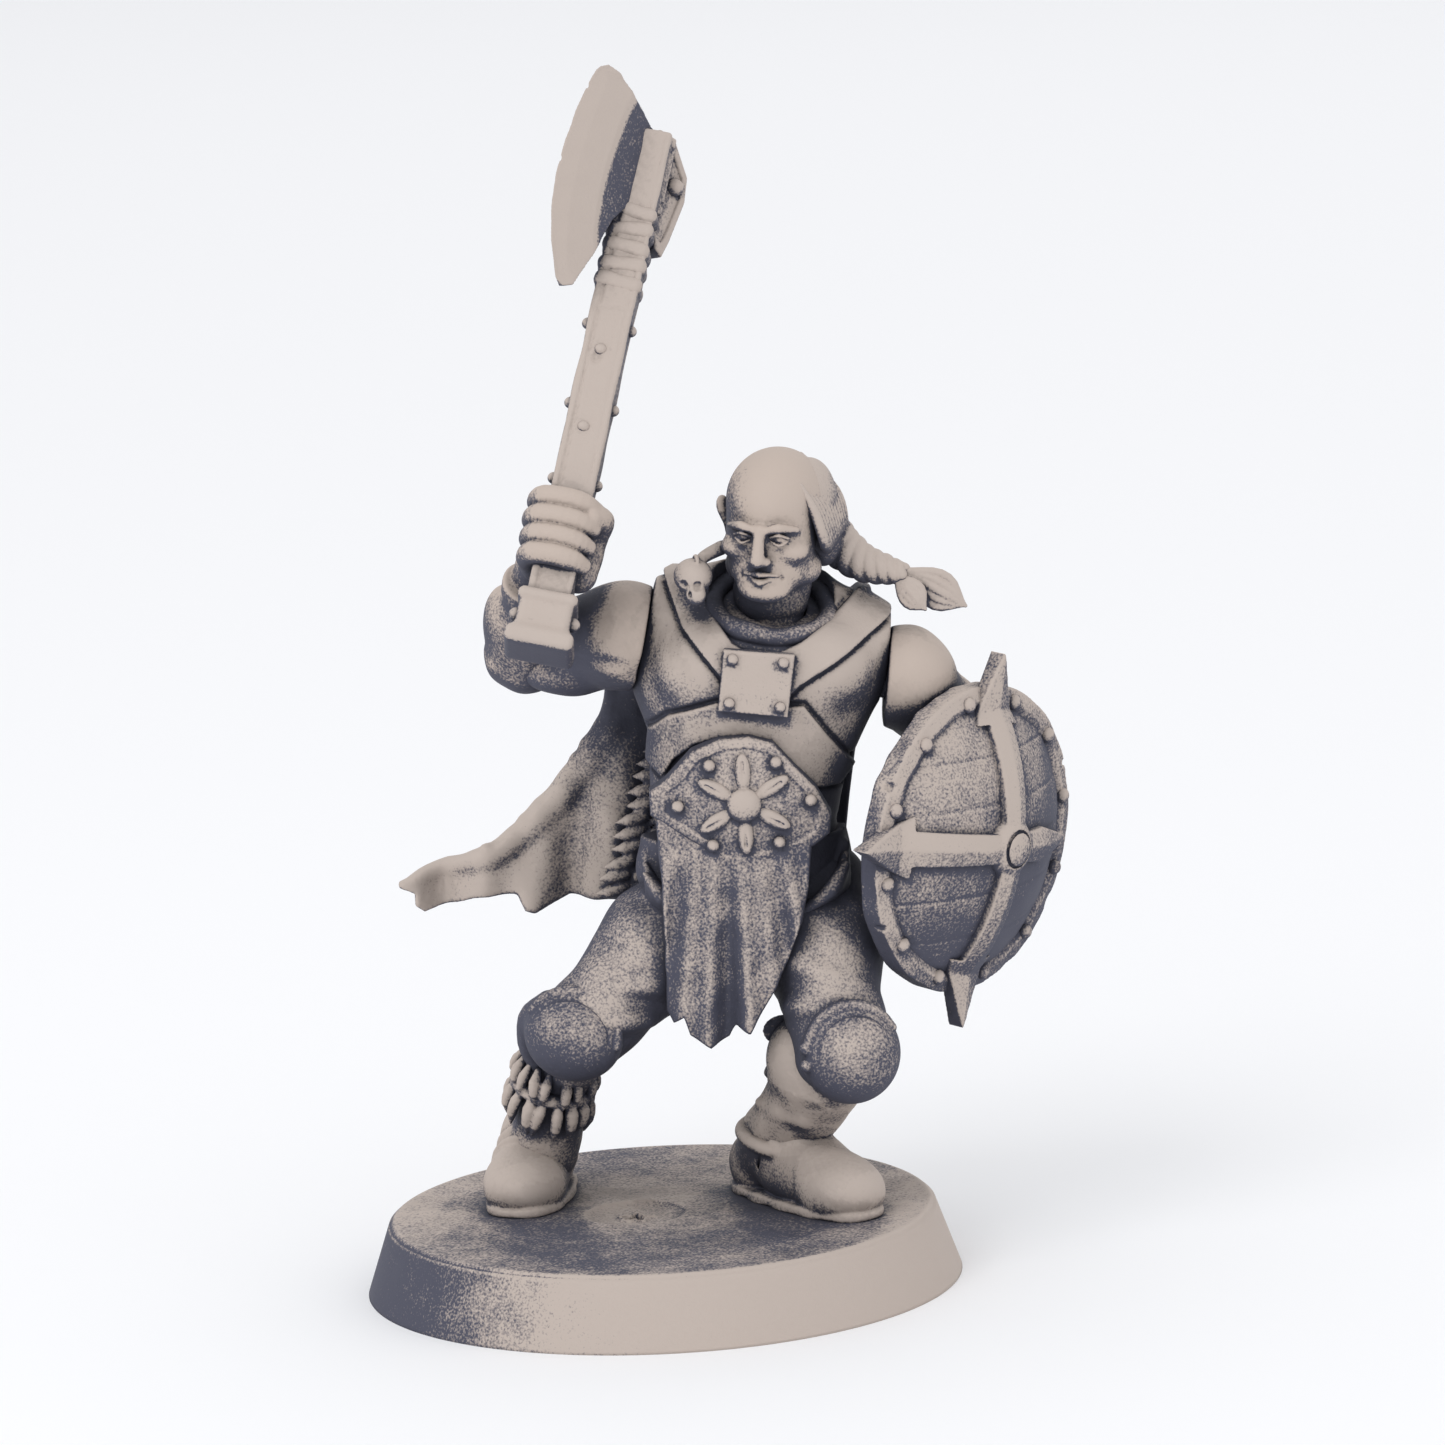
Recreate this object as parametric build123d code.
from build123d import *
import os
from math import asin, cos, pi, radians, sin

# A 28 mm heroic-scale plastic warrior on a 25 mm round base, all sizes in millimetres.
# The frame has +Z up, the figure faces -Y, and the origin is the centre of the base's resting plane.
# "Right" and "left" in the node names are the figure's own right (-X) and left (+X).

# ---------------------------------------------------------------- driving dimensions
BASE_DIAMETER = 25.0
BASE_TOP_DIAMETER = 22.9
BASE_HEIGHT = 3.05
BASE_WALL = 1.2
BASE_DECK = 1.2
DIMPLE_CENTRE = (-1.1, -0.6)
DIMPLE_RADIUS = 2.1
DIMPLE_DEPTH = 0.25

PIN_RADIUS = 0.8          # pegs at the shoulders
NECK_RADIUS = 1.3         # the neck turns in a round socket between the shoulders
SHIELD_PIN_RADIUS = 0.5
RUNNING_CLEARANCE = 0.06  # radial, between a peg and its hole
FACE_GAP = 0.12           # between the flat faces of two pieces that turn on each other
PIN_DEPTH = 1.3

RIVET_RADIUS = 0.32

# ---------------------------------------------------------------- the figure's joints and landmarks
RIGHT_HIP = Vector(2.4, 1.2, 16.0)
RIGHT_KNEE = Vector(-3.0, -0.9, 11.0)
RIGHT_ANKLE = Vector(-5.0, 3.9, 5.3)
LEFT_HIP = Vector(6.9, 1.2, 16.0)
LEFT_KNEE = Vector(7.8, -2.9, 10.0)
LEFT_ANKLE = Vector(4.9, 1.4, 5.3)

NECK_SOCKET = Vector(5.8, 0.6, 26.9)
COLLAR_CENTRE = Vector(5.75, 0.3, 28.1)
COLLAR_TILT = (22, 8, 0)
COLLAR_RADIUS = 2.9
COLLAR_WIDTH = 0.85
COLLAR_HEIGHT = 0.85
HEAD = Vector(6.1, -0.5, 32.2)
CHIN = Vector(5.4, -2.6, 29.6)

RIGHT_SHOULDER = Vector(0.4, 1.0, 27.2)
RIGHT_SHOULDER_NORMAL = Vector(-0.967, 0, 0.255)
RIGHT_ELBOW = Vector(-4.6, 2.6, 26.5)
RIGHT_WRIST = Vector(-3.9, -0.6, 30.2)

LEFT_SHOULDER = Vector(10.4, 1.0, 25.0)
LEFT_SHOULDER_NORMAL = Vector(0.992, 0, -0.13)
LEFT_ELBOW = Vector(14.0, 4.6, 21.6)

POMMEL_END = Vector(-3.9, -5.0, 27.8)
HAFT_DIRECTION = Vector(0.241, 0.485, 0.840)
BLADE_DIRECTION = Vector(-0.625, -0.585, 0.517)
HAFT_LENGTH = 23.4
HAFT_WIDTH = 1.75
GRIP_STATION = 5.1        # distance of the fist's middle from the end of the pommel
SOCKET_STATION = 21.9     # distance of the axe head's middle from the end of the pommel

SHIELD_CENTRE = Vector(13.5, 0.3, 18.2)
SHIELD_NORMAL = Vector(0.76, -0.64, -0.10)
SHIELD_RADIUS = 6.4
SHIELD_THICKNESS = 0.8
SHIELD_DOME = 1.8         # height of the middle of the face above its edge
SHIELD_RIM_WIDTH = 0.75
SHIELD_RIM_THICKNESS = 1.2
SHIELD_FACE_RADIUS = SHIELD_RADIUS - SHIELD_RIM_WIDTH
SHIELD_ARMS = 4
SHIELD_SPIKES = 3         # arms that run on to a spike beyond the rim
SHIELD_TURN = 83          # degrees that the first arm stands round from level
SHIELD_ARM_WIDTH = 1.1
SHIELD_ARM_HEIGHT = 0.45
BELLY_PETALS = 6
LEFT_HAND_OFFSET = 2.3    # from the shield's middle to the middle of the fist behind it

FRONT = Vector(0, -1, 0)
UP = Vector(0, 0, 1)


# ---------------------------------------------------------------- helpers
def taper(start, end, start_radius, end_radius):
    """Round bar between two points, with its own radius at each end."""
    axis = end - start
    first = Plane(origin=start, z_dir=axis)
    last = Plane(origin=end, x_dir=first.x_dir, z_dir=axis)
    return loft([first * Circle(start_radius), last * Circle(end_radius)])


def ball(centre, radius):
    return Pos(*centre) * Sphere(radius)


def spheroid(centre, axis, radius, half_length):
    """Ball stretched or flattened along one axis."""
    half = EllipticalCenterArc((0, 0), radius, half_length, start_angle=-90, arc_size=180)
    solid = revolve(Plane.XZ * make_face(half + Line(half @ 1, half @ 0)), Axis.Z)
    return Plane(origin=centre, z_dir=axis) * solid


def limb(start, end, start_radius, end_radius):
    """Tapered bar with a round end on each side, all tangent."""
    length = (end - start).length
    lean = asin((start_radius - end_radius) / length)

    def round_end(height, radius, first_angle, last_angle):
        angles = (first_angle, (first_angle + last_angle) / 2, last_angle)
        return ThreePointArc(*[(radius * cos(a), height + radius * sin(a)) for a in angles])

    first = round_end(0, start_radius, -pi / 2, lean)
    last = round_end(length, end_radius, lean, pi / 2)
    outline = first + Line(first @ 1, last @ 0) + last + Line(last @ 1, first @ 0)
    solid = revolve(Plane.XZ * make_face(outline), Axis.Z)
    return Plane(origin=start, z_dir=end - start) * solid


def stack(sections):
    """Loft through level ellipses: each section is (x, y, z, half width, half depth, roll in degrees)."""
    rings = []
    for x, y, z, half_width, half_depth, roll in sections:
        rings.append(Pos(x, y, z) * Rot(0, roll, 0) * Ellipse(half_width, half_depth))
    return loft(rings)


def beyond(point, normal, size=40):
    """Block that fills everything on the far side of a plane."""
    plane = Plane(origin=point, z_dir=normal)
    return plane * Box(size, size, size, align=(Align.CENTER, Align.CENTER, Align.MIN))


def peg(point, normal, radius, start, end):
    """Straight peg along a normal, from one distance to another."""
    plane = Plane(origin=point + normal * start, z_dir=normal)
    return plane * Cylinder(radius, end - start, align=(Align.CENTER, Align.CENTER, Align.MIN))


def hole(point, normal, radius):
    return peg(point, normal, radius + RUNNING_CLEARANCE, -PIN_DEPTH - FACE_GAP, 1.0)


def slab(plane, points, thickness):
    """Flat plate with a straight-sided outline, centred on its plane."""
    face = make_face(plane * Polyline(*points, close=True))
    return extrude(face, amount=thickness / 2, both=True)


def rivets(spots, radius=RIVET_RADIUS):
    return Compound([ball(spot, radius) for spot in spots])


# ---------------------------------------------------------------- base
def make_base():
    radius = BASE_DIAMETER / 2
    top_radius = BASE_TOP_DIAMETER / 2
    ground = (Align.CENTER, Align.CENTER, Align.MIN)
    disc = Cone(radius, top_radius, BASE_HEIGHT, align=ground)
    disc = fillet(disc.edges().group_by(Axis.Z)[-1], 0.2)
    hollow_height = BASE_HEIGHT - BASE_DECK
    disc -= Cone(radius - BASE_WALL, top_radius - BASE_WALL, hollow_height, align=ground)
    dish_radius = (DIMPLE_RADIUS ** 2 + DIMPLE_DEPTH ** 2) / (2 * DIMPLE_DEPTH)
    x, y = DIMPLE_CENTRE
    disc -= Pos(x, y, BASE_HEIGHT - DIMPLE_DEPTH + dish_radius) * Sphere(dish_radius)
    return disc


# ---------------------------------------------------------------- legs and boots
def make_boot(heel, toe, heel_radius, toe_radius, ankle, shin_direction):
    """Blunt boot: a sole, a tapering foot over it, and a short shaft up the ankle."""
    direction = (toe - heel).normalized()
    foot = []
    for height, shrink in ((0, 0), (0.9, 0.05), (1.8, 0.45), (2.6, 0.9)):
        back = heel + direction * shrink * 0.3
        front = toe - direction * shrink * 2.6
        centre = (back + front) * 0.5 + UP * height
        plane = Plane(origin=centre, x_dir=direction, z_dir=UP)
        half_length = (front - back).length / 2 + (heel_radius + toe_radius) / 2 - shrink * 0.5
        half_width = toe_radius - shrink
        foot.append(plane * Ellipse(half_length, half_width))
    shaft = taper(ankle - UP * 0.8, ankle + shin_direction * 2.0, heel_radius, heel_radius + 0.1)
    return loft(foot) + shaft


def make_right_boot():
    shin = (RIGHT_KNEE - RIGHT_ANKLE).normalized()
    heel = Vector(-5.1, 5.0, BASE_HEIGHT)
    toe = Vector(-5.8, 0.9, BASE_HEIGHT)
    return make_boot(heel, toe, 1.4, 1.95, RIGHT_ANKLE, shin)


def make_left_boot():
    shin = (LEFT_KNEE - LEFT_ANKLE).normalized()
    heel = Vector(4.3, 2.3, BASE_HEIGHT)
    toe = Vector(7.7, -2.7, BASE_HEIGHT)
    return make_boot(heel, toe, 1.45, 1.9, LEFT_ANKLE, shin)


def make_right_thigh():
    return limb(RIGHT_HIP, RIGHT_KNEE, 2.3, 1.9)


def make_left_thigh():
    return limb(LEFT_HIP, LEFT_KNEE, 2.3, 1.95)


def make_right_shin():
    shin = (RIGHT_KNEE - RIGHT_ANKLE).normalized()
    return limb(RIGHT_KNEE, RIGHT_ANKLE + shin * 1.2, 1.6, 1.3)


def make_left_shin():
    shin = (LEFT_KNEE - LEFT_ANKLE).normalized()
    return limb(LEFT_KNEE, LEFT_ANKLE + shin * 1.2, 1.7, 1.4)


def make_right_boot_fur():
    shin = (RIGHT_KNEE - RIGHT_ANKLE).normalized()
    return taper(RIGHT_ANKLE + shin * 1.5, RIGHT_ANKLE + shin * 4.4, 1.75, 1.95)


def make_left_boot_fur():
    shin = (LEFT_KNEE - LEFT_ANKLE).normalized()
    return limb(LEFT_ANKLE + shin * 3.0, LEFT_KNEE - shin * 1.2 + Vector(-1.0, 0.2, 0.6), 1.8, 1.3)


def make_right_knee_pad():
    return ball(RIGHT_KNEE + Vector(0.0, -0.6, 0.15), 2.0)


def make_left_knee_pad():
    return ball(LEFT_KNEE + Vector(0.3, -0.5, -0.1), 2.1)


# ---------------------------------------------------------------- trousers and loincloth
def make_pelvis():
    return stack([
        (4.4, 1.3, 14.6, 3.4, 2.2, 0),
        (4.2, 1.3, 16.6, 4.4, 2.9, 0),
        (4.2, 1.2, 18.2, 4.2, 2.8, 0),
    ])


def make_loincloth():
    """Front cloth flap that hangs between the thighs."""
    face = Plane(origin=(4.0, -2.3, 17.4), x_dir=(1, 0, 0), z_dir=(0, -1, -0.12))
    points = [(-3.0, 0.6), (2.9, 0.2), (1.9, -4.0), (0.9, -6.4), (-0.3, -5.9), (-1.4, -6.8), (-2.7, -5.4)]
    return slab(face, points, 0.9)


# ---------------------------------------------------------------- torso and its armour
def torso_form(growth=0.0):
    return stack([
        (4.4, 1.2, 17.9, 3.6 + growth, 2.8 + growth, 0),
        (4.4, 0.9, 20.5, 3.95 + growth, 3.1 + growth, 2),
        (4.8, 0.9, 22.8, 4.4 + growth, 3.1 + growth, 5),
        (5.1, 1.0, 25.4, 5.5 + growth, 3.3 + growth, 7),
        (5.6, 1.2, 27.4, 5.6 + growth, 2.8 + growth, 8),
        (5.8, 1.6, 28.5, 4.9 + growth, 2.0 + growth, 8),
        (5.9, 1.9, 29.1, 3.8 + growth, 1.3 + growth, 9),
    ])


def inside_shoulders(shape):
    """Trim a torso piece flat where the arms meet it."""
    shape -= beyond(RIGHT_SHOULDER, RIGHT_SHOULDER_NORMAL)
    shape -= beyond(LEFT_SHOULDER, LEFT_SHOULDER_NORMAL)
    return shape


def make_torso():
    torso = inside_shoulders(torso_form())
    torso -= hole(RIGHT_SHOULDER, RIGHT_SHOULDER_NORMAL, PIN_RADIUS)
    torso -= hole(LEFT_SHOULDER, LEFT_SHOULDER_NORMAL, PIN_RADIUS)
    torso -= peg(NECK_SOCKET, UP, NECK_RADIUS + RUNNING_CLEARANCE, 0, 4)
    return torso - collar_space()


def collar_space():
    """Round recess that the rolled collar lies in, open upwards."""
    above = (Align.CENTER, Align.CENTER, Align.MIN)
    return Pos(*COLLAR_CENTRE) * Rot(*COLLAR_TILT) * Cylinder(COLLAR_RADIUS + 0.1, 6, align=above)


def belly_front(height=0.0):
    """Plane on the front of the belly plate, at a height above it."""
    return Plane(origin=(4.3, -2.9 - height, 20.7), x_dir=(1, 0, 0), z_dir=FRONT)


def make_belly_plate():
    return extrude(belly_front() * Ellipse(3.6, 2.5), amount=-2.2)


def make_belly_rosette():
    """Six plain petals round a boss, raised on the belly plate."""
    raised = belly_front() * Cylinder(0.7, 0.6)
    for turn in range(BELLY_PETALS):
        petal = Pos(0.95, 0, 0) * Ellipse(0.85, 0.32)
        raised += extrude(belly_front() * Rot(0, 0, 30 + turn * 360 / BELLY_PETALS) * petal, amount=0.3)
    return raised


def make_belly_rivets():
    spots = []
    for turn in range(BELLY_PETALS):
        angle = 2 * pi * turn / BELLY_PETALS
        spots.append(belly_front().from_local_coords(Vector(2.5 * cos(angle), 1.7 * sin(angle), 0)))
    return rivets(spots)


def make_chest_harness():
    """Two straps from the shoulders that cross at the chest plate and part again over the belly."""
    cover = torso_form(0.35) & (Pos(5, -4, 25) * Box(20, 9, 12))
    front = Plane(origin=(5.0, -6.0, 25.4), x_dir=(1, 0, 0), z_dir=FRONT)
    straps = slab(front, [(-3.6, 3.9), (-1.9, 4.1), (1.0, 0.9), (1.0, -0.9), (-1.4, 0.3)], 12)
    straps += slab(front, [(4.2, 3.0), (2.3, 3.4), (-1.0, 0.9), (-1.0, -0.9), (1.6, 0.2)], 12)
    straps += slab(front, [
        (-1.2, 0.9), (1.2, 0.9), (4.5, -2.6), (3.4, -3.9), (0.4, -1.7), (-3.3, -4.2), (-4.7, -3.2),
    ], 12)
    return inside_shoulders(cover & straps) - collar_space()


def make_chest_plate():
    face = Plane(origin=(5.0, -2.5, 25.4), x_dir=(1, 0, 0), z_dir=FRONT)
    return slab(face, [(-1.6, 1.45), (1.5, 1.2), (1.35, -1.45), (-1.7, -1.2)], 0.9)


def make_chest_rivets():
    return rivets([
        Vector(4.15, -2.95, 26.35), Vector(6.1, -2.95, 26.1),
        Vector(3.9, -2.95, 24.8), Vector(5.85, -2.95, 24.5),
    ], 0.3)


def make_collar():
    """Rolled leather collar round the neck, lower in front."""
    above = (Align.CENTER, Align.CENTER, Align.MIN)
    roll = Cylinder(COLLAR_RADIUS, COLLAR_HEIGHT, align=above)
    roll -= Cylinder(COLLAR_RADIUS - COLLAR_WIDTH, COLLAR_HEIGHT, align=above)
    roll = fillet(roll.edges().group_by(Axis.Z)[-1], 0.3)
    return Pos(*COLLAR_CENTRE) * Rot(*COLLAR_TILT) * roll


# ---------------------------------------------------------------- cloak
def make_cloak():
    """Hide cloak that hangs from the upper back and streams out to the figure's right."""
    back = Plane(origin=(0, 5.4, 0), x_dir=(1, 0, 0), z_dir=FRONT)
    outline = [
        (8.6, 27.2), (9.2, 22.0), (7.6, 17.0), (3.6, 14.2), (-2.4, 14.8), (-5.2, 14.9),
        (-5.6, 15.7), (-9.8, 14.9), (-10.8, 16.1), (-6.2, 17.8), (-3.0, 21.3), (-0.6, 24.4), (2.6, 27.6),
    ]
    return slab(back, outline, 0.9)


def make_cloak_fur():
    """Thick pelt lining on the inner face of the cloak."""
    inner = Plane(origin=(0, 4.55, 0), x_dir=(1, 0, 0), z_dir=FRONT)
    outline = [
        (8.0, 26.6), (8.4, 22.0), (6.9, 17.6), (3.4, 15.0),
        (-3.0, 15.6), (-4.6, 16.6), (-2.2, 21.0), (2.8, 26.8),
    ]
    return slab(inner, outline, 0.8)


# ---------------------------------------------------------------- head
def make_head():
    skull = spheroid(HEAD, Vector(0, -0.2, 1), 2.2, 2.7)
    jaw = spheroid(CHIN + Vector(0.2, 0.6, 0.6), UP, 1.5, 1.4)
    ear = spheroid(HEAD + Vector(-2.2, 0.5, -0.6), UP, 0.45, 0.8)
    throat = HEAD + Vector(0, 0.5, -1.9)
    neck = taper(NECK_SOCKET + UP * 2.6, throat, NECK_RADIUS, NECK_RADIUS + 0.2)
    plug = peg(NECK_SOCKET, UP, NECK_RADIUS, FACE_GAP, 2.7)
    return skull + jaw + ear + neck + plug


def make_hair():
    """Hair swept over the left side of the head to the braid."""
    return spheroid(HEAD + Vector(1.1, 0.9, -0.5), Vector(0.2, 0, 1), 1.8, 2.7)


def make_braid():
    first = Vector(8.5, 1.3, 31.2)
    second = Vector(10.0, 0.9, 29.9)
    last = Vector(11.3, 0.5, 29.4)
    return limb(first, second, 0.95, 0.7) + limb(second, last, 0.7, 0.5)


def make_braid_feathers():
    lower = spheroid(Vector(11.6, -0.2, 28.75), Vector(0.85, 0, -0.5), 0.45, 1.1)
    upper = spheroid(Vector(12.7, 0.9, 28.95), Vector(0.85, 0, -0.4), 0.5, 1.35)
    return Compound([lower, upper])


def make_skull_trophy():
    """Small skull that hangs on a cord below the right ear."""
    skull = limb(Vector(2.6, -2.2, 30.1), Vector(2.75, -2.6, 29.4), 0.85, 0.5)
    cord = taper(Vector(2.7, -2.1, 30.3), Vector(4.3, -0.9, 31.3), 0.35, 0.35)
    return skull + cord


# ---------------------------------------------------------------- right arm and axe
def axe_point(station, reach=0.0, aside=0.0):
    """Point on the axe: along the haft, out towards the edge, and square to the blade."""
    across = HAFT_DIRECTION.cross(BLADE_DIRECTION)
    return POMMEL_END + HAFT_DIRECTION * station + BLADE_DIRECTION * reach + across * aside


def axe_plane(station):
    """Plane square to the haft, with its X axis towards the cutting edge."""
    return Plane(origin=axe_point(station), x_dir=BLADE_DIRECTION, z_dir=HAFT_DIRECTION)


def blade_plane():
    """Plane that the blade lies in: X towards the edge and Y up the haft."""
    across = BLADE_DIRECTION.cross(HAFT_DIRECTION)
    return Plane(origin=axe_point(SOCKET_STATION), x_dir=BLADE_DIRECTION, z_dir=across)


def make_right_upper_arm():
    arm = limb(RIGHT_SHOULDER + RIGHT_SHOULDER_NORMAL * 0.9, RIGHT_ELBOW, 2.25, 1.75)
    arm -= beyond(RIGHT_SHOULDER + RIGHT_SHOULDER_NORMAL * FACE_GAP, RIGHT_SHOULDER_NORMAL * -1)
    return arm + peg(RIGHT_SHOULDER, RIGHT_SHOULDER_NORMAL, PIN_RADIUS, -PIN_DEPTH, 1.0)


def make_right_forearm():
    return limb(RIGHT_ELBOW, RIGHT_WRIST, 1.8, 1.15)


def make_right_hand():
    fist = axe_plane(GRIP_STATION) * Rot(0, 0, 20) * Box(3.2, 3.6, 3.3)
    return fillet(fist.edges(), 0.8)


def make_axe_haft():
    section = axe_plane(1.6) * RegularPolygon(HAFT_WIDTH / 2 / cos(radians(22.5)), 8, rotation=22.5)
    return extrude(section, amount=HAFT_LENGTH - 1.6)


def make_axe_pommel():
    bottom = axe_plane(0) * Ellipse(1.3, 1.15)
    top = axe_plane(1.9) * Ellipse(1.05, 0.95)
    return loft([bottom, top])


def make_haft_studs():
    spots = []
    for station in (7.6, 11.0, 14.2):
        for side in (-1, 1):
            spots.append(axe_point(station, side * HAFT_WIDTH * 0.5 * 0.7, side * HAFT_WIDTH * 0.5 * -0.7))
    return rivets(spots, 0.36)


def make_pommel_studs():
    return rivets([axe_point(1.0, 1.1, 0), axe_point(1.0, -1.1, 0)], 0.36)


def make_haft_binding():
    rings = Part(children=[])
    for turn in range(4):
        rings += axe_plane(16.4 + 0.78 * turn) * Cylinder(HAFT_WIDTH * 0.62, 0.7)
    return rings


def make_axe_head():
    """Bearded wedge blade: its outline, cut to a wedge section that ends in the edge."""
    plane = blade_plane()
    edge = Spline((3.8, 3.3), (4.9, 0.0), (4.5, -3.2), (2.7, -6.3), tangents=[(0.5, -1), (-0.6, -1)])
    back = Polyline((2.7, -6.3), (1.9, -3.2), (0.6, -1.6), (0.6, 1.5), (2.0, 2.7), (3.8, 3.3))
    outline = make_face(plane * (edge + back))
    block = extrude(outline, amount=2, both=True)
    wedge_plane = Plane(origin=plane.origin, x_dir=BLADE_DIRECTION, z_dir=HAFT_DIRECTION)
    wedge = make_face(wedge_plane * Polyline(
        (0, 0.8), (2.1, 0.62), (5.2, 0.1), (5.2, -0.1), (2.1, -0.62), (0, -0.8), close=True))
    return block & extrude(wedge, amount=8, both=True)


def make_axe_socket():
    return axe_plane(SOCKET_STATION - 1.6) * Box(2.1, 2.1, 3.1, align=(Align.CENTER, Align.CENTER, Align.MIN))


def make_axe_back_plate():
    return slab(blade_plane(), [(-0.9, 1.6), (-1.9, 0.6), (-2.0, -0.9), (-1.3, -3.3), (-0.9, -3.0)], 0.9)


def make_axe_rivet():
    return rivets([axe_point(SOCKET_STATION - 0.2, -1.55, 0.45), axe_point(SOCKET_STATION - 0.2, -1.55, -0.45)], 0.4)


# ---------------------------------------------------------------- left arm and shield
def left_hand_centre():
    return SHIELD_CENTRE - SHIELD_NORMAL * LEFT_HAND_OFFSET


def shield_plane(height=0.0):
    """Plane across the shield at a height above its middle, with its X axis level."""
    level = UP.cross(SHIELD_NORMAL).normalized()
    return Plane(origin=SHIELD_CENTRE + SHIELD_NORMAL * height, x_dir=level, z_dir=SHIELD_NORMAL)


def make_left_upper_arm():
    arm = limb(LEFT_SHOULDER + LEFT_SHOULDER_NORMAL * 0.8, LEFT_ELBOW, 2.05, 1.5)
    arm -= beyond(LEFT_SHOULDER + LEFT_SHOULDER_NORMAL * FACE_GAP, LEFT_SHOULDER_NORMAL * -1)
    return arm + peg(LEFT_SHOULDER, LEFT_SHOULDER_NORMAL, PIN_RADIUS, -PIN_DEPTH, 1.0)


def make_left_forearm():
    wrist = left_hand_centre() + (LEFT_ELBOW - left_hand_centre()).normalized() * 0.6
    return limb(LEFT_ELBOW, wrist, 1.5, 1.05)


def make_left_hand():
    fist = ball(left_hand_centre(), 1.4)
    fist -= beyond(left_hand_centre() + SHIELD_NORMAL * 0.9, SHIELD_NORMAL)
    return fist + peg(left_hand_centre(), SHIELD_NORMAL, SHIELD_PIN_RADIUS, 0, 1.8)


def shield_dome(growth=0.0):
    """Ball whose cap is the domed face of the shield, grown by a distance."""
    radius = (SHIELD_FACE_RADIUS ** 2 + SHIELD_DOME ** 2) / (2 * SHIELD_DOME)
    return ball(shield_plane(SHIELD_THICKNESS / 2 + SHIELD_DOME - radius).origin, radius + growth)


def over_shield_face():
    """Round column that stands on the shield inside its rim."""
    return peg(SHIELD_CENTRE, SHIELD_NORMAL, SHIELD_FACE_RADIUS, -SHIELD_THICKNESS, SHIELD_DOME * 2)


def make_shield_disc():
    return over_shield_face() & (shield_dome() - shield_dome(-SHIELD_THICKNESS))


def make_shield_rim():
    plane = shield_plane(-0.15)
    outer = plane * Cylinder(SHIELD_RADIUS, SHIELD_RIM_THICKNESS)
    rim = chamfer(outer.edges(), 0.3)
    return rim - plane * Cylinder(SHIELD_FACE_RADIUS, SHIELD_RIM_THICKNESS * 2)


def make_shield_boss():
    """Socket on the back of the shield that turns on the peg of the fist."""
    start = -LEFT_HAND_OFFSET + 0.9 + FACE_GAP
    boss = peg(SHIELD_CENTRE, SHIELD_NORMAL, 1.1, start, SHIELD_DOME)
    return boss - peg(SHIELD_CENTRE, SHIELD_NORMAL, SHIELD_PIN_RADIUS + RUNNING_CLEARANCE, start, 0)


def make_shield_straps():
    """Plain iron cross over the dome; three of its arms run on to a spike beyond the rim."""
    half = SHIELD_ARM_WIDTH / 2
    spike_end = SHIELD_RADIUS + 1.5
    face_end = SHIELD_FACE_RADIUS - 0.5
    arms = Part(children=[])
    spikes = []
    for turn in range(SHIELD_ARMS):
        heading = Rot(0, 0, SHIELD_TURN + turn * 360 / SHIELD_ARMS)
        spiked = turn < SHIELD_SPIKES
        end = spike_end if spiked else face_end
        neck = end - 1.6
        arm = Polyline((0, half), (neck, half), (end, 0), (neck, -half), (0, -half), close=True)
        arms += shield_plane() * heading * extrude(make_face(arm), amount=SHIELD_DOME * 2)
        if spiked:
            root = end - 2.6
            tip = Polyline((root, half), (neck, half), (end, 0), (neck, -half), (root, -half), close=True)
            spikes.append(shield_plane(SHIELD_ARM_HEIGHT) * heading * extrude(make_face(tip), amount=0.5))
    straps = over_shield_face() & arms & (shield_dome(SHIELD_ARM_HEIGHT) - shield_dome())
    hub = peg(SHIELD_CENTRE, SHIELD_NORMAL, 1.3, 0, SHIELD_DOME * 2) & (shield_dome(0.6) - shield_dome())
    return straps + hub + spikes


def make_shield_rivets():
    spots = []
    plane = shield_plane(SHIELD_RIM_THICKNESS / 2 - 0.15)
    for turn in range(12):
        angle = radians(SHIELD_TURN + 15 + 30 * turn)
        radius = (SHIELD_RADIUS + SHIELD_FACE_RADIUS) / 2
        spots.append(plane.from_local_coords(Vector(radius * cos(angle), radius * sin(angle), 0)))
    return rivets(spots, 0.34)


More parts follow.
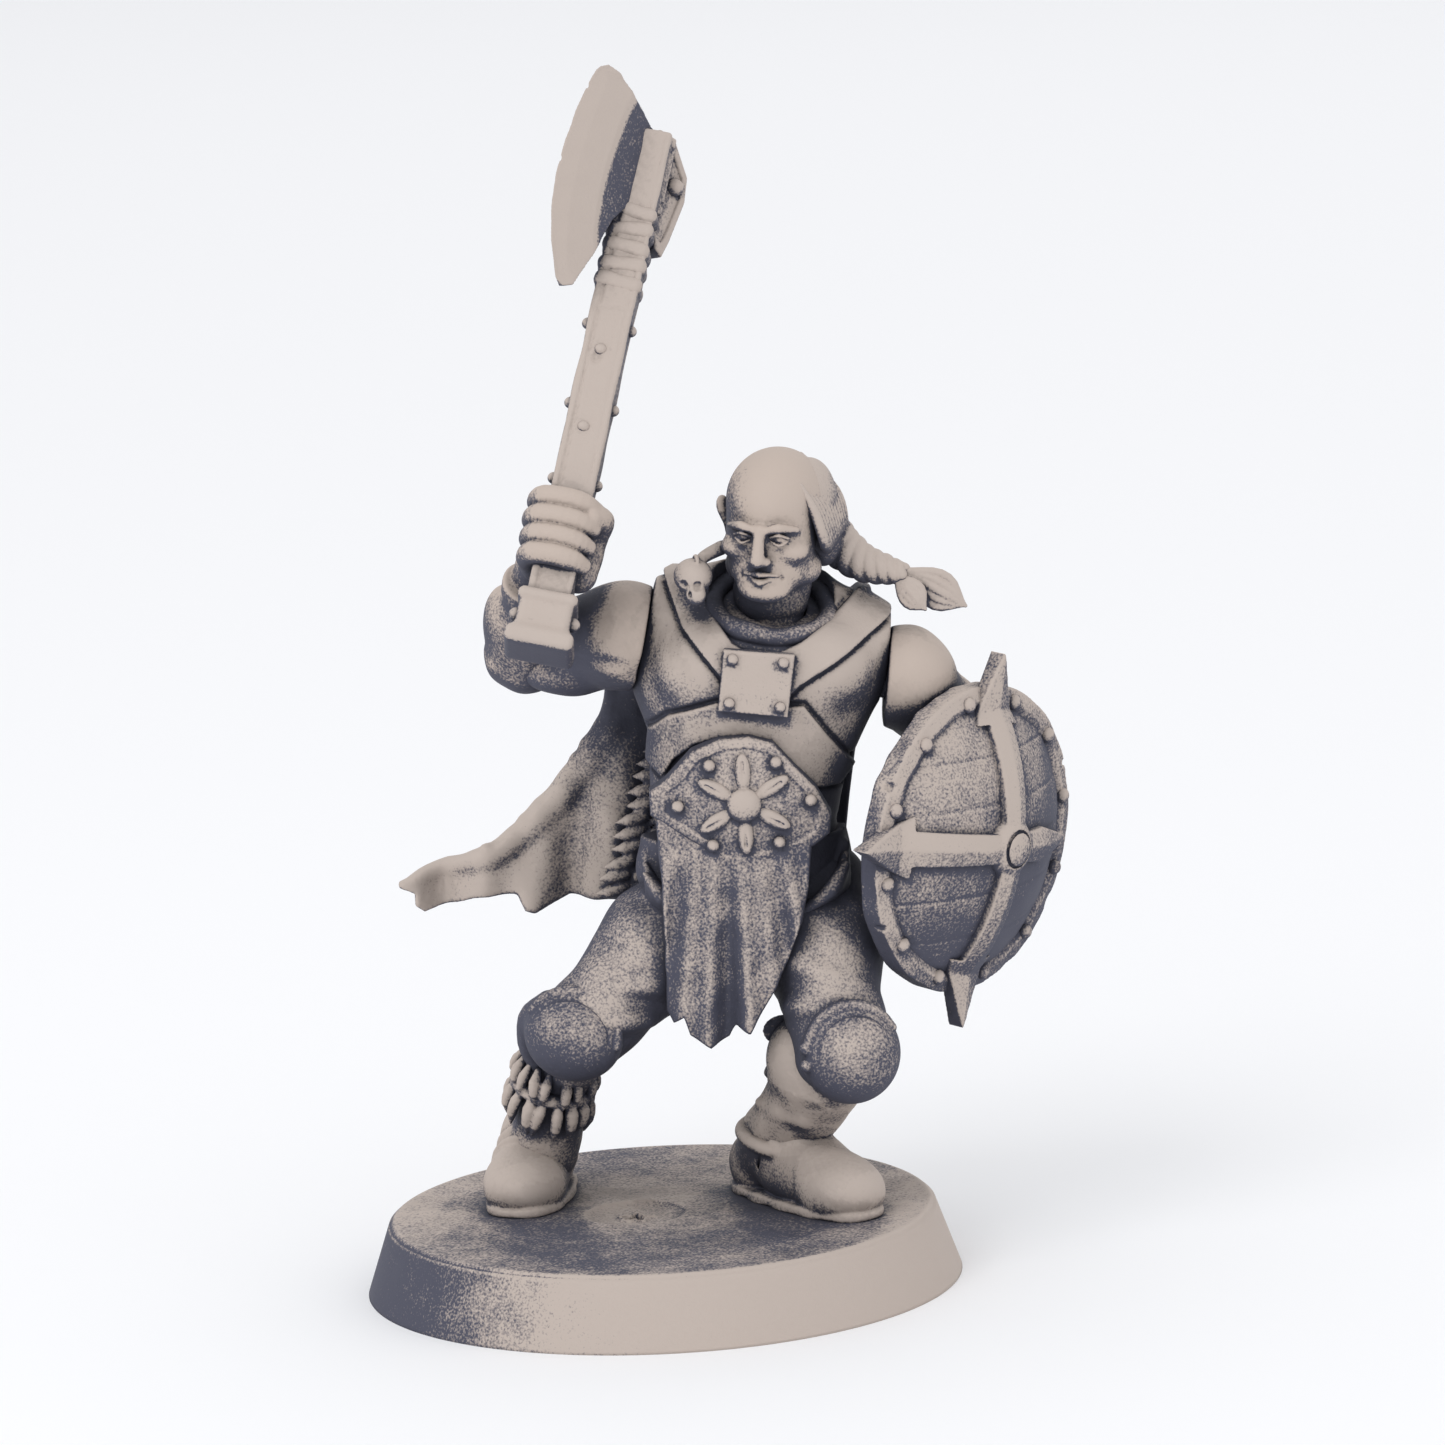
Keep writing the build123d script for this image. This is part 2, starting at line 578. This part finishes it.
# ---------------------------------------------------------------- assembly
# Nodes of each rigid body, hardest first: a later piece is cut to fit round the ones before it.
BODIES = {
    "figure": [
        ("base", make_base),
        ("right_boot", make_right_boot),
        ("left_boot", make_left_boot),
        ("right_boot_fur", make_right_boot_fur),
        ("left_boot_fur", make_left_boot_fur),
        ("right_shin", make_right_shin),
        ("left_shin", make_left_shin),
        ("right_thigh", make_right_thigh),
        ("left_thigh", make_left_thigh),
        ("right_knee_pad", make_right_knee_pad),
        ("left_knee_pad", make_left_knee_pad),
        ("torso", make_torso),
        ("pelvis", make_pelvis),
        ("loincloth", make_loincloth),
        ("belly_plate", make_belly_plate),
        ("belly_rosette", make_belly_rosette),
        ("belly_rivets", make_belly_rivets),
        ("chest_plate", make_chest_plate),
        ("chest_rivets", make_chest_rivets),
        ("chest_harness", make_chest_harness),
        ("collar", make_collar),
        ("cloak", make_cloak),
        ("cloak_fur", make_cloak_fur),
    ],
    "head": [
        ("head", make_head),
        ("hair", make_hair),
        ("braid", make_braid),
        ("braid_feathers", make_braid_feathers),
        ("skull_trophy", make_skull_trophy),
    ],
    "right_arm": [
        ("axe_haft", make_axe_haft),
        ("axe_pommel", make_axe_pommel),
        ("haft_binding", make_haft_binding),
        ("axe_socket", make_axe_socket),
        ("axe_head", make_axe_head),
        ("axe_back_plate", make_axe_back_plate),
        ("axe_rivet", make_axe_rivet),
        ("haft_studs", make_haft_studs),
        ("pommel_studs", make_pommel_studs),
        ("right_upper_arm", make_right_upper_arm),
        ("right_forearm", make_right_forearm),
        ("right_hand", make_right_hand),
    ],
    "left_arm": [
        ("left_upper_arm", make_left_upper_arm),
        ("left_forearm", make_left_forearm),
        ("left_hand", make_left_hand),
    ],
    "shield": [
        ("shield_disc", make_shield_disc),
        ("shield_rim", make_shield_rim),
        ("shield_straps", make_shield_straps),
        ("shield_rivets", make_shield_rivets),
        ("shield_boss", make_shield_boss),
    ],
}
GROUPS = {"belly_rivets", "chest_rivets", "haft_studs", "pommel_studs", "axe_rivet", "shield_rivets",
          "braid_feathers", "haft_binding"}
SMALLEST_PIECE = 0.004    # cubic millimetres: anything smaller is a sliver left by a cut


def near(first, second):
    """True where the boxes of two shapes meet."""
    a, b = first.bounding_box(), second.bounding_box()
    return all((
        a.min.X <= b.max.X, b.min.X <= a.max.X,
        a.min.Y <= b.max.Y, b.min.Y <= a.max.Y,
        a.min.Z <= b.max.Z, b.min.Z <= a.max.Z,
    ))


def fitted(name, shape, placed):
    """Cut a piece to fit round the pieces already placed, and drop the slivers."""
    for other in placed.values():
        if near(shape, other):
            shape = shape - other
    solids = [solid for solid in shape.solids() if solid.volume > SMALLEST_PIECE]
    if name not in GROUPS:
        solids = [max(solids, key=lambda solid: solid.volume)]
    return Compound(solids) if len(solids) > 1 else solids[0]


os.makedirs("parts", exist_ok=True)
for body, recipes in BODIES.items():
    placed = {}
    for node, make in recipes:
        placed[node] = fitted(node, make(), placed)
        export_step(placed[node], f"parts/{node}.step")
